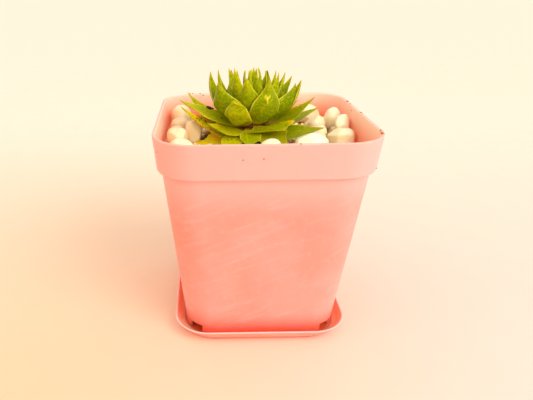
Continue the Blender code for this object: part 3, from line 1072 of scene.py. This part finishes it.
def makeSoil():
    material = soilMaterial()
    bottom = pot["floorZ"] + pot["wall"] + soilLook["bottomGap"]
    fit, count = soilLook["fit"], soilLook["rings"]
    form = bmesh.new()
    rings = []
    heights = bottom, bottom + soilLook["bottomEdge"], soilLook["middleZ"], soilLook["edgeZ"]
    for z in heights:
        half, corner = bodyAt(z)
        rings.append(squareRing(form, half - fit - (1.0 if z == bottom else 0.0), corner - fit, z))
    edge = rings[-1]
    rings += [soilRing(form, edge, 1 - k / count) for k in range(1, count)]
    joinRings(form, rings)
    form.faces.new(rings[0])
    form.faces.new(rings[-1])
    bmesh.ops.recalc_face_normals(form, faces=form.faces)
    piece = addPiece("soil_bed", form, material, "soil", "soil")
    mesh = piece.data
    addFloats(mesh, "bare", [bareShare(v.co.x / mm, v.co.y / mm) for v in mesh.vertices])
    print("soil:", len(mesh.polygons), "faces")
    return piece, material


stem = {
    "cuts": 3,
    "lump": 0.1,
    "lumpTurn": 1.4,
    "lumpScale": 420,
    "dark": (0.10, 0.035, 0.012, 1),
    "light": (0.34, 0.15, 0.04, 1),
}


def makeStem():
    material, place = newMaterial("stemBark")
    grain = cloud(stretched(place, (1.0, 1.0, 5.0)), 330.0, 4.0, 0.65)
    colour = coats(stem["dark"], (grain, 0.0, 1.0, 0.35, 0.65, stem["light"]))
    dress(colour, (grain, 0.65, 0.95), (grain, 0.9, 0.8 * mm))
    form = mergedForm("stem")
    bmesh.ops.subdivide_edges(form, edges=form.edges, cuts=stem["cuts"], use_grid_fill=True)
    for vert in form.verts:
        away = Vector((vert.co.x - rosette.x, vert.co.y - rosette.y, 0))
        turn = math.atan2(away.y, away.x) * stem["lumpTurn"]
        lump = noise.noise(Vector((turn, vert.co.z * stem["lumpScale"], 1)))
        vert.co += away * stem["lump"] * lump
    piece = addPiece("stem_bark", form, material, "stem", "stem")
    print("stem:", len(piece.data.polygons), "faces")


# the young leaves in the heart go on with the rosette's spiral, whose leaves are counted from nought;
# heights and reaches in millimetres
heart = {
    "count": 8,
    "firstIndex": 36,
    "firstAzimuth": -33.0,
    "cupIndex": 16,
    "goldenAngle": 137.508,
    "outerReach": 6.2,
    "innerReach": 0.8,
    "baseZ": 97.6,
    "outerTipZ": 112.6,
    "innerTipZ": 115.2,
    "footShare": 0.3,
    "lean": 0.75,
    # the share of pale green, partly painted light
    "pale": 0.35,
    "outline": {0.0: 0.07, 0.2: 0.12, 0.4: 0.145, 0.55: 0.125, 0.68: 0.075, 0.8: 0.038, 0.92: 0.018},
    "crosses": (-1.0, -0.6, 0.0, 0.6, 1.0),
    "bow": (-0.06, 0.16, 0.9),
    "thick": 0.055,
    "fold": 0.35,
    "tip": (0, 0.02, 1.0),
}


def heartLeafForm():
    # one young leaf, a unit long along Z, its upper face towards -Y
    form = bmesh.new()
    layer = form.loops.layers.uv.new("leafMap")
    halves = heart["outline"]
    maps = {}

    bowFoot, bowRise, bowTurn = heart["bow"]

    def pointAt(u, t, under):
        bow = bowFoot + bowRise * math.sin(math.pi * t * bowTurn)
        thick = heart["thick"] * (1 - u * u) * (1.0 if under else -0.1)
        return halves[t] * u, bow - heart["fold"] * halves[t] * u * u + thick, t

    rings = [addRing(form, maps, ringCells(heart["crosses"]), t, pointAt) for t in halves]
    closeLeaf(form, layer, maps, rings, heart["tip"])
    return form


def heartTree():
    # leaf k stands a golden angle further round than leaf k - 1, closer in and more upright
    floats = "startAngle goldenAngle outerReach innerReach outerHeight innerHeight"
    tree, given, result = newTree(
        "heartSpiral", Object="leaf", Int="count", Float=floats, Vector="foot", Material="skin"
    )
    values = {"Count": given["count"], "Position": given["foot"]}
    points = addNode(tree, "GeometryNodePoints", values)
    index = addNode(tree, "GeometryNodeInputIndex")

    def between(share, name):
        ends = {0: share, 2: given["outer" + name], 3: given["inner" + name]}
        return addNode(tree, "ShaderNodeMix", ends, data_type="FLOAT")

    share = maths("DIVIDE", index, minus(given["count"], 1.0))
    angle = plus(given["startAngle"], times(index, given["goldenAngle"]))
    reach, height = between(share, "Reach"), between(share, "Height")
    tall = maths("SQRT", plus(times(reach, reach), times(height, height)))
    footReach = times(reach, heart["footShare"])
    outX, outY = maths("SINE", angle), times(maths("COSINE", angle), -1.0)
    start = addNode(tree, "ShaderNodeCombineXYZ", {0: times(outX, footReach), 1: times(outY, footReach)})
    moved = addNode(tree, "GeometryNodeSetPosition", {"Geometry": points, "Offset": start})
    lean = times(maths("ARCTAN2", reach, height), -heart["lean"])
    turn = addNode(tree, "ShaderNodeCombineXYZ", {0: lean, 2: plus(angle, math.pi)})
    shape = addNode(tree, "GeometryNodeObjectInfo", {"Object": given["leaf"]}, "Geometry")
    return placeCopies(tree, result, moved, shape, turn, tall, given["skin"])


def makeHeart():
    shape = newPiece("heart_leaf_shape", formToMesh("heart_leaf_shape", heartLeafForm()))
    piece = newPiece("heart_leaves", bpy.data.meshes.new("heart_leaves"))
    golden = math.radians(heart["goldenAngle"])
    turned = golden * (heart["firstIndex"] - heart["cupIndex"])
    applyTree(
        piece,
        heartTree(),
        leaf=shape,
        count=heart["count"],
        startAngle=math.radians(heart["firstAzimuth"]) + turned,
        goldenAngle=golden,
        outerReach=heart["outerReach"] * mm,
        innerReach=heart["innerReach"] * mm,
        foot=(rosette.x, rosette.y, heart["baseZ"] * mm),
        outerHeight=(heart["outerTipZ"] - heart["baseZ"]) * mm,
        innerHeight=(heart["innerTipZ"] - heart["baseZ"]) * mm,
        skin=bpy.data.materials["leafSkin"],
    )
    bpy.data.objects.remove(shape)
    roundOff(piece)
    piece.data.shade_smooth()
    # pale green, partly painted light
    addFloats(piece.data, "pale", heart["pale"])
    finishPiece(piece, "young_leaf", "heart_bud")
    print("heart:", len(piece.data.polygons), "faces")


# pebbles: colours, then by pebble number the share of peach, the share of bleached white, and the
# blocky ones; edge is how far a flat is pressed in, and block how square the pebble is
stones = {
    "white": (0.995, 0.875, 0.575, 1),
    "cream": (0.995, 0.79, 0.41, 1),
    "vein": (0.86, 0.66, 0.36, 1),
    "peach": (0.995, 0.61, 0.335, 1),
    "bleached": (0.99, 0.94, 0.74, 1),
    "tints": {1: 0.25, 2: 0.6, 3: 0.35, 4: 0.3, 5: 0.15, 9: 0.1, 10: 0.15, 11: 0.3},
    "bleach": {6: 0.4, 7: 0.4, 8: 0.15, 13: 0.6},
    "blocks": (4, 7, 8, 5),
    "blocky": {"edge": 0.95, "block": 0.7},
    "round": {"edge": 0.8, "block": 0.15},
    "firstSeed": 100,
    "lump": 0.05,
    "grain": 0.015,
    "flats": 7,
    "flatDepth": (0.74, 0.93),
    "chipReach": ((0.38, 0.5), (0.34, 0.46), (0.3, 0.42)),
    "chipTint": 0.15,
}


def stoneMaterial():
    material, place = newMaterial("marble")
    broad = cloud(place, 120.0, 2.0)
    fine = cloud(place, 700.0, 4.0, 0.6)
    wave = {"Vector": place, "Scale": 55.0, "Distortion": 9.0, "Detail": 3.0, "Detail Scale": 1.6}
    colour = coats(
        stones["white"],
        (broad, 0.0, 0.8, 0.4, 0.68, stones["cream"]),
        (addBeside(place, "ShaderNodeTexWave", wave, 1), 0.0, 0.22, 0.72, 0.95, stones["vein"]),
    )
    colour = mixColour(mark(place, "tint"), colour, stones["peach"])
    colour = mixColour(mark(place, "bleach"), colour, stones["bleached"])
    bump = plus(fine, times(broad, 2.0)), 0.16, 0.4 * mm
    dress(colour, (fine, 0.24, 0.5), bump, (0.3, (1.0, 0.85, 0.6), 2 * mm))
    return material


def shapeStone(form, chance, low, high, edge=0.75, block=0.0):
    # soft flats and dents on a smooth pebble, which keeps its box; a blocky one is squared off first
    middle = (low + high) / 2
    reach = (high - low) / 2
    flats = []
    for _ in range(stones["flats"]):
        way = Vector([chance.gauss(0, 1) for _ in range(3)]).normalized()
        flats.append((way, chance.uniform(*stones["flatDepth"])))
    seed = Vector((chance.uniform(0, 50), chance.uniform(0, 50), 0))
    for vert in form.verts:
        way = Vector(((vert.co[i] - middle[i]) / reach[i] for i in range(3)))
        if block:
            powered = sum(abs(c) ** 4 for c in way) ** 0.25
            way *= 1 - block + block * way.length / powered
        for flat, depth in flats:
            over = way.dot(flat) - depth
            if over > 0:
                way -= flat * over * edge
        lump, grain = noise.noise(seed + way * 1.6), noise.noise(seed + way * 5)
        way *= 1 + stones["lump"] * lump + stones["grain"] * grain
        vert.co = Vector((middle[i] + way[i] * reach[i] for i in range(3)))
    lowNow = [min(v.co[i] for v in form.verts) for i in range(3)]
    highNow = [max(v.co[i] for v in form.verts) for i in range(3)]
    for vert in form.verts:
        shares = [(vert.co[i] - lowNow[i]) / (highNow[i] - lowNow[i]) for i in range(3)]
        vert.co = Vector((low[i] + shares[i] * (high[i] - low[i]) for i in range(3)))


def makePebbles():
    material = stoneMaterial()
    names = sorted(n for n in frame["nodes"] if n.startswith("pebble_"))
    for index, name in enumerate(names):
        number = index + 1
        low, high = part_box(name)
        piece = newPiece(name + "_stone", formToMesh(name, mergedForm(name)))
        roundOff(piece)
        form = bmesh.new()
        form.from_mesh(piece.data)
        kind = stones["blocky" if number in stones["blocks"] else "round"]
        shapeStone(form, random.Random(stones["firstSeed"] + index), low, high, **kind)
        mesh = formToMesh(name + "_stone", form)
        addFloats(mesh, "tint", stones["tints"].get(number, 0.0))
        addFloats(mesh, "bleach", stones["bleach"].get(number, 0.0))
        mesh.materials.append(material)
        piece.data = mesh
        finishPiece(piece, "pebble", name)
    print("pebbles:", len(names))
    return material


# what is scattered on the soil: from and to a share of its half width, then in millimetres the room
# left round the solids, the gap between two pieces, sizes and lift; density per square metre
scattered = {
    "small_pebbles": {
        "band": (0.42, 0.93), "clearance": 2.4, "gap": 4.4, "density": 60000.0,
        "small": 4.4, "large": 6.2, "lift": 2.2, "seed": 5,
    },
    "gravel": {
        "band": (0.2, 0.97), "clearance": 0.5, "gap": 2.2, "density": 200000.0,
        "small": 2.2, "large": 3.6, "lift": 0.8, "seed": 9,
    },
    "soil_crumbs": {
        "band": (0.0, 0.99), "clearance": 0.3, "gap": 1.2, "density": 400000.0,
        "small": 0.5, "large": 1.5, "lift": 0.1, "seed": 3,
    },
}
fullTurn = 6.28


def chipShapes(prefix, count, seed, squash):
    made = []
    for k in range(count):
        chance = random.Random(seed + k)
        form = bmesh.new()
        bmesh.ops.create_icosphere(form, subdivisions=2, radius=0.5)
        x, y, z = (chance.uniform(*ends) for ends in stones["chipReach"])
        reach = Vector((x, y, z * squash))
        shapeStone(form, chance, -reach, reach)
        made.append(newPiece(f"{prefix}{k}", formToMesh(f"{prefix}{k}", form)))
    return made


def scatterTree():
    tree, given, result = newTree(
        "scatter",
        Object="shape0 shape1 shape2 obstacles",
        Float="clearance gap density small large lift",
        Int="seed",
        Material="skin",
    )
    seed = given["seed"]
    values = {"Mesh": given["Geometry"], "Distance Min": given["gap"], "Density Max": given["density"]}
    values["Seed"] = seed
    spots = addNode(tree, "GeometryNodeDistributePointsOnFaces", values, distribute_method="POISSON")
    up = addNode(tree, "ShaderNodeCombineXYZ", {2: given["lift"]})
    raised = addNode(tree, "GeometryNodeSetPosition", {"Geometry": spots, "Offset": up})
    others = addNode(tree, "GeometryNodeObjectInfo", {"Object": given["obstacles"]}, "Geometry")
    near = addNode(tree, "GeometryNodeProximity", {0: others}, "Distance", target_element="FACES")
    tooNear = addNode(tree, "FunctionNodeCompare", {0: near, 1: given["clearance"]}, operation="LESS_THAN")
    kept = addNode(tree, "GeometryNodeDeleteGeometry", {0: raised, 1: tooNear}, domain="POINT")
    shapes = tree.nodes.new("GeometryNodeJoinGeometry")
    for label in ("shape2", "shape1", "shape0"):
        values = {"Object": given[label], "As Instance": True}
        tree.links.new(addNode(tree, "GeometryNodeObjectInfo", values, "Geometry"), shapes.inputs[0])
    turn = chanceBetween(tree, (0, 0, 0), (fullTurn,) * 3, seed)
    size = chanceBetween(tree, given["small"], given["large"], seed)
    shape, pick = shapes.outputs[0], {"Pick Instance": True}
    return placeCopies(tree, result, kept, shape, turn, size, given["skin"], **pick)


def topOfSoil(name, soilPiece, innerShare, outerShare):
    # the soil's upper face between two shares of its half width; stones leave the bare spots free
    form = bmesh.new()
    form.from_mesh(soilPiece.data)
    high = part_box("soil")[1]
    half = high.x

    def outside(face):
        middle = face.calc_center_median()
        share = max(abs(middle.x), abs(middle.y)) / half
        bare = bareShare(middle.x / mm, middle.y / mm) > 0.5
        if bare != (name == "soil_crumbs"):
            return True
        return middle.z < high.z - 3 * mm or face.normal.z < 0.3 or not innerShare < share < outerShare

    gone = [face for face in form.faces if outside(face)]
    bmesh.ops.delete(form, geom=gone, context="FACES")
    return newPiece(name, formToMesh(name, form))


def joinedCopy(name, pieces):
    form = bmesh.new()
    for piece in pieces:
        form.from_mesh(piece.data)
    return newPiece(name, formToMesh(name, form))


def makeScatter(soilPiece, soilSkin, stoneSkin):
    tree = scatterTree()
    solidNames = [n for n in frame["nodes"] if n.startswith(("pebble_", "leaf_")) or n == "stem"]
    blockers = joinedCopy("blockers", [frame["nodes"][n] for n in solidNames])
    chips = chipShapes("chip", 3, 40, 1.0)
    crumbs = chipShapes("crumb", 3, 70, 0.9)
    soilTops = {name: topOfSoil(name, soilPiece, *look["band"]) for name, look in scattered.items()}
    for name, piece in soilTops.items():
        look = scattered[name]
        ofSoil = name == "soil_crumbs"
        lengths = {key: look[key] * mm for key in ("clearance", "gap", "small", "large", "lift")}
        shapes = {f"shape{k}": shape for k, shape in enumerate(crumbs if ofSoil else chips)}
        skin = soilSkin if ofSoil else stoneSkin
        more = {"density": look["density"], "seed": look["seed"], "obstacles": blockers, "skin": skin}
        applyTree(piece, tree, **lengths, **shapes, **more)
        piece.data.shade_smooth()
        if ofSoil:
            addFloats(piece.data, "bare", 1.0)
        else:
            addFloats(piece.data, "tint", stones["chipTint"])
        finishPiece(piece, "soil" if ofSoil else "pebble")
        print(name + ":", len(piece.data.polygons), "faces")
    for spare in [blockers, *chips, *crumbs]:
        bpy.data.objects.remove(spare)


# specks of soil stuck to the leaves: by leaf, place across and along it, and size
leafSpecks = {
    "leaf_01": (
        (-0.35, 0.70, 1.0), (-0.25, 0.66, 0.8), (-0.60, 0.63, 1.1),
        (-0.50, 0.56, 0.8), (0.10, 0.60, 0.6),
    ),
    "leaf_04": ((-0.15, 0.48, 0.9), (-0.35, 0.55, 0.8), (0.20, 0.42, 0.7)),
    "leaf_05": ((-0.55, 0.38, 0.8), (-0.85, 0.42, 0.6)),
    "leaf_02": ((-0.95, 0.88, 0.7),),
    "leaf_14": ((0.00, 0.34, 0.8), (-0.90, 0.55, 3.0), (-0.95, 0.50, 2.2), (-0.80, 0.52, 1.6)),
    "leaf_15": ((0.60, 0.60, 0.7), (0.20, 0.28, 0.8), (-0.60, 0.10, 0.7), (0.75, 0.30, 0.6)),
}
# specks on the pot's rim and band, in millimetres, and their size
potSpecks = (
    (-32.0, 44.5, 94.9, 0.9),
    (-30.5, 44.6, 94.9, 0.6),
    (-26.5, 44.5, 94.9, 1.0),
    (-25.0, 43.8, 94.2, 0.7),
    (44.3, 21.7, 94.9, 0.8),
    (44.5, 17.0, 94.9, 0.5),
    (44.5, -0.2, 94.9, 0.8),
    (44.4, -2.5, 94.9, 0.5),
    (44.1, -28.8, 94.8, 0.9),
    (43.6, -31.5, 94.9, 0.7),
    (43.4, -33.1, 94.9, 1.0),
    (43.6, 11.4, 93.0, 0.5),
    (-42.6, -36.1, 89.8, 0.5),
    (-10.5, -44.6, 89.0, 0.5),
    (-2.9, -44.6, 89.3, 0.45),
    (10.2, -44.8, 94.9, 0.6),
    (41.8, -35.9, 82.0, 0.5),
)
speck = {
    "radius": 0.42,
    "wide": (0.6, 1.4),
    "high": (0.5, 0.9),
    "ragged": 0.3,
    "potSize": 1.6,
    "seed": 17,
    "leafDirt": ((0.008, 0.003, 0.002, 1), (0.07, 0.024, 0.006, 1)),
    "potDirt": ((0.32, 0.07, 0.012, 1), (0.75, 0.22, 0.04, 1)),
}


def addSpeck(form, place, size, chance):
    made = bmesh.ops.create_icosphere(form, subdivisions=1, radius=speck["radius"] * size * mm)["verts"]
    stretch = Vector([chance.uniform(*speck[key]) for key in ("wide", "wide", "high")])
    turn = Matrix.Rotation(chance.uniform(0, 3.1), 3, "Z")
    for vert in made:
        ragged = 1 + speck["ragged"] * noise.noise(Vector((size * 9, 0, 0)) + vert.co / mm * 3)
        vert.co = place + turn @ Vector((vert.co[i] * stretch[i] * ragged for i in range(3)))


def dirtMaterial(name):
    material, place = newMaterial(name)
    dark, light = speck[name]
    tint = cloud(place, 900.0)
    colour = coats(dark, (tint, 0.0, 1.0, 0.35, 0.65, light))
    dress(colour, (tint, 0.7, 0.95), (tint, 0.5, 0.2 * mm))
    return material


def makeSpecks(leaves):
    chance = random.Random(speck["seed"])
    named = {leaf["name"]: leaf for leaf in leaves}
    onLeaves, onPot = bmesh.new(), bmesh.new()
    for name, specks in leafSpecks.items():
        for u, t, size in specks:
            addSpeck(onLeaves, leafPoint(named[name], u, t), size, chance)
    for x, y, z, size in potSpecks:
        addSpeck(onPot, Vector((x, y, z)) * mm, speck["potSize"] * size, chance)
    addPiece("leaf_specks", onLeaves, dirtMaterial("leafDirt"), "leaf")
    addPiece("pot_specks", onPot, dirtMaterial("potDirt"), "pot")
    print("specks done")


# floor and lights: each sun has its place, spread in degrees, strength and colour, and each lamp
# its place, size, power and colour
studio = {
    "target": (0, 0, 0.08),
    "floorHalf": 6.0,
    "floorColour": (0.97, 0.81, 0.67, 1),
    # painted shadow: the floor is darker and warmer near the pot, on the left and the right
    "nearLeftShadow": (0.90, 0.57, 0.335, 1),
    "nearRightShadow": (0.78, 0.61, 0.525, 1),
    "grainColour": (0.5, 0.4, 0.3, 1),
    "floorRough": 0.8,
    "skyColour": (1.0, 0.94, 0.86, 1),
    "skyStrength": 0.92,
    "suns": (
        ("keySun", (0.62, -0.55, 0.6), 40, 0.95, (1.0, 0.93, 0.92)),
        ("sideSun", (-0.85, -0.2, 0.5), 50, 0.35, (1.0, 0.88, 0.70)),
        ("frontSun", (0.2, -0.9, 0.4), 50, 0.7, (1.0, 0.93, 0.87)),
    ),
    "lamps": (
        ("topLamp", (0.2, -0.26, 0.34), 0.16, 0.35, (1.0, 0.94, 0.88)),
        ("rightLamp", (0.26, -0.28, 0.08), 0.2, 0.3, (0.92, 0.93, 1.0)),
    ),
}
# the camera's place in millimetres, and its axes
view = {
    "place": (-23.87, -217.16, 148.98),
    "right": (0.9999, -0.0077, -0.0123),
    "up": (0.0144, 0.4250, 0.9051),
    "forward": (0.0018, 0.9052, -0.4251),
    "lens": 33.647,
    "sensor": 36.0,
    "shift": (0.1097, 0.0243),
}


def makeFloor():
    material, place = newMaterial("paleFloor")
    # painted shadow: darker near the pot, fading to the even floor colour further back
    colour = coats(
        studio["nearLeftShadow"],
        (axis(place, 0), 0.0, 1.0, -0.12, 0.12, studio["nearRightShadow"]),
        (axis(place, 1), 0.0, 1.0, -0.2, 0.4, studio["floorColour"]),
        (cloud(place, 60.0), 0.0, 0.03, 0.3, 0.7, studio["grainColour"]),
    )
    tree = material.node_tree
    inputs = tree.nodes["Principled BSDF"].inputs
    tree.links.new(colour, inputs["Base Color"])
    inputs["Roughness"].default_value = studio["floorRough"]
    form = bmesh.new()
    bmesh.ops.create_grid(form, x_segments=4, y_segments=4, size=studio["floorHalf"])
    newPiece("floor", formToMesh("floor", form, False), material)


def placeLamp(name, data, place, power, colour, target):
    data.energy = power
    data.color = colour
    lamp = bpy.data.objects.new(name, data)
    bpy.context.scene.collection.objects.link(lamp)
    lamp.location = place
    lamp.rotation_euler = (target - Vector(place)).to_track_quat("-Z", "Y").to_euler()


def makeLights():
    world = bpy.data.worlds.new("studioSky")
    bpy.context.scene.world = world
    world.use_nodes = True
    sky = world.node_tree.nodes["Background"]
    sky.inputs["Color"].default_value = studio["skyColour"]
    sky.inputs["Strength"].default_value = studio["skyStrength"]
    for name, place, size, power, colour in studio["suns"]:
        data = bpy.data.lights.new(name, "SUN")
        data.angle = math.radians(size)
        placeLamp(name, data, place, power, colour, Vector())
    for name, place, size, power, colour in studio["lamps"]:
        data = bpy.data.lights.new(name, "AREA")
        data.size = size
        placeLamp(name, data, place, power, colour, Vector(studio["target"]))


def makeCamera():
    data = bpy.data.cameras.new("camera")
    data.lens = view["lens"]
    data.sensor_width = view["sensor"]
    data.shift_x, data.shift_y = view["shift"]
    data.clip_start = 0.01
    camera = bpy.data.objects.new("camera", data)
    bpy.context.scene.collection.objects.link(camera)
    right, up, forward = (Vector(view[key]) for key in ("right", "up", "forward"))
    turn = Matrix((right, up, -forward)).transposed().to_4x4()
    camera.matrix_world = Matrix.Translation(Vector(view["place"]) * mm) @ turn
    bpy.context.scene.camera = camera


makeCamera()
makeFloor()
makeLights()
bpy.context.scene.view_settings.view_transform = "Standard"
makePot()
makeSaucer()
soilPiece, soilSkin = makeSoil()
makeStem()
leaves = makeLeaves()
makeWitheredLeaf()
makeHeart()
makeHairs(leaves)
makeSpecks(leaves)
stoneSkin = makePebbles()
makeScatter(soilPiece, soilSkin, stoneSkin)
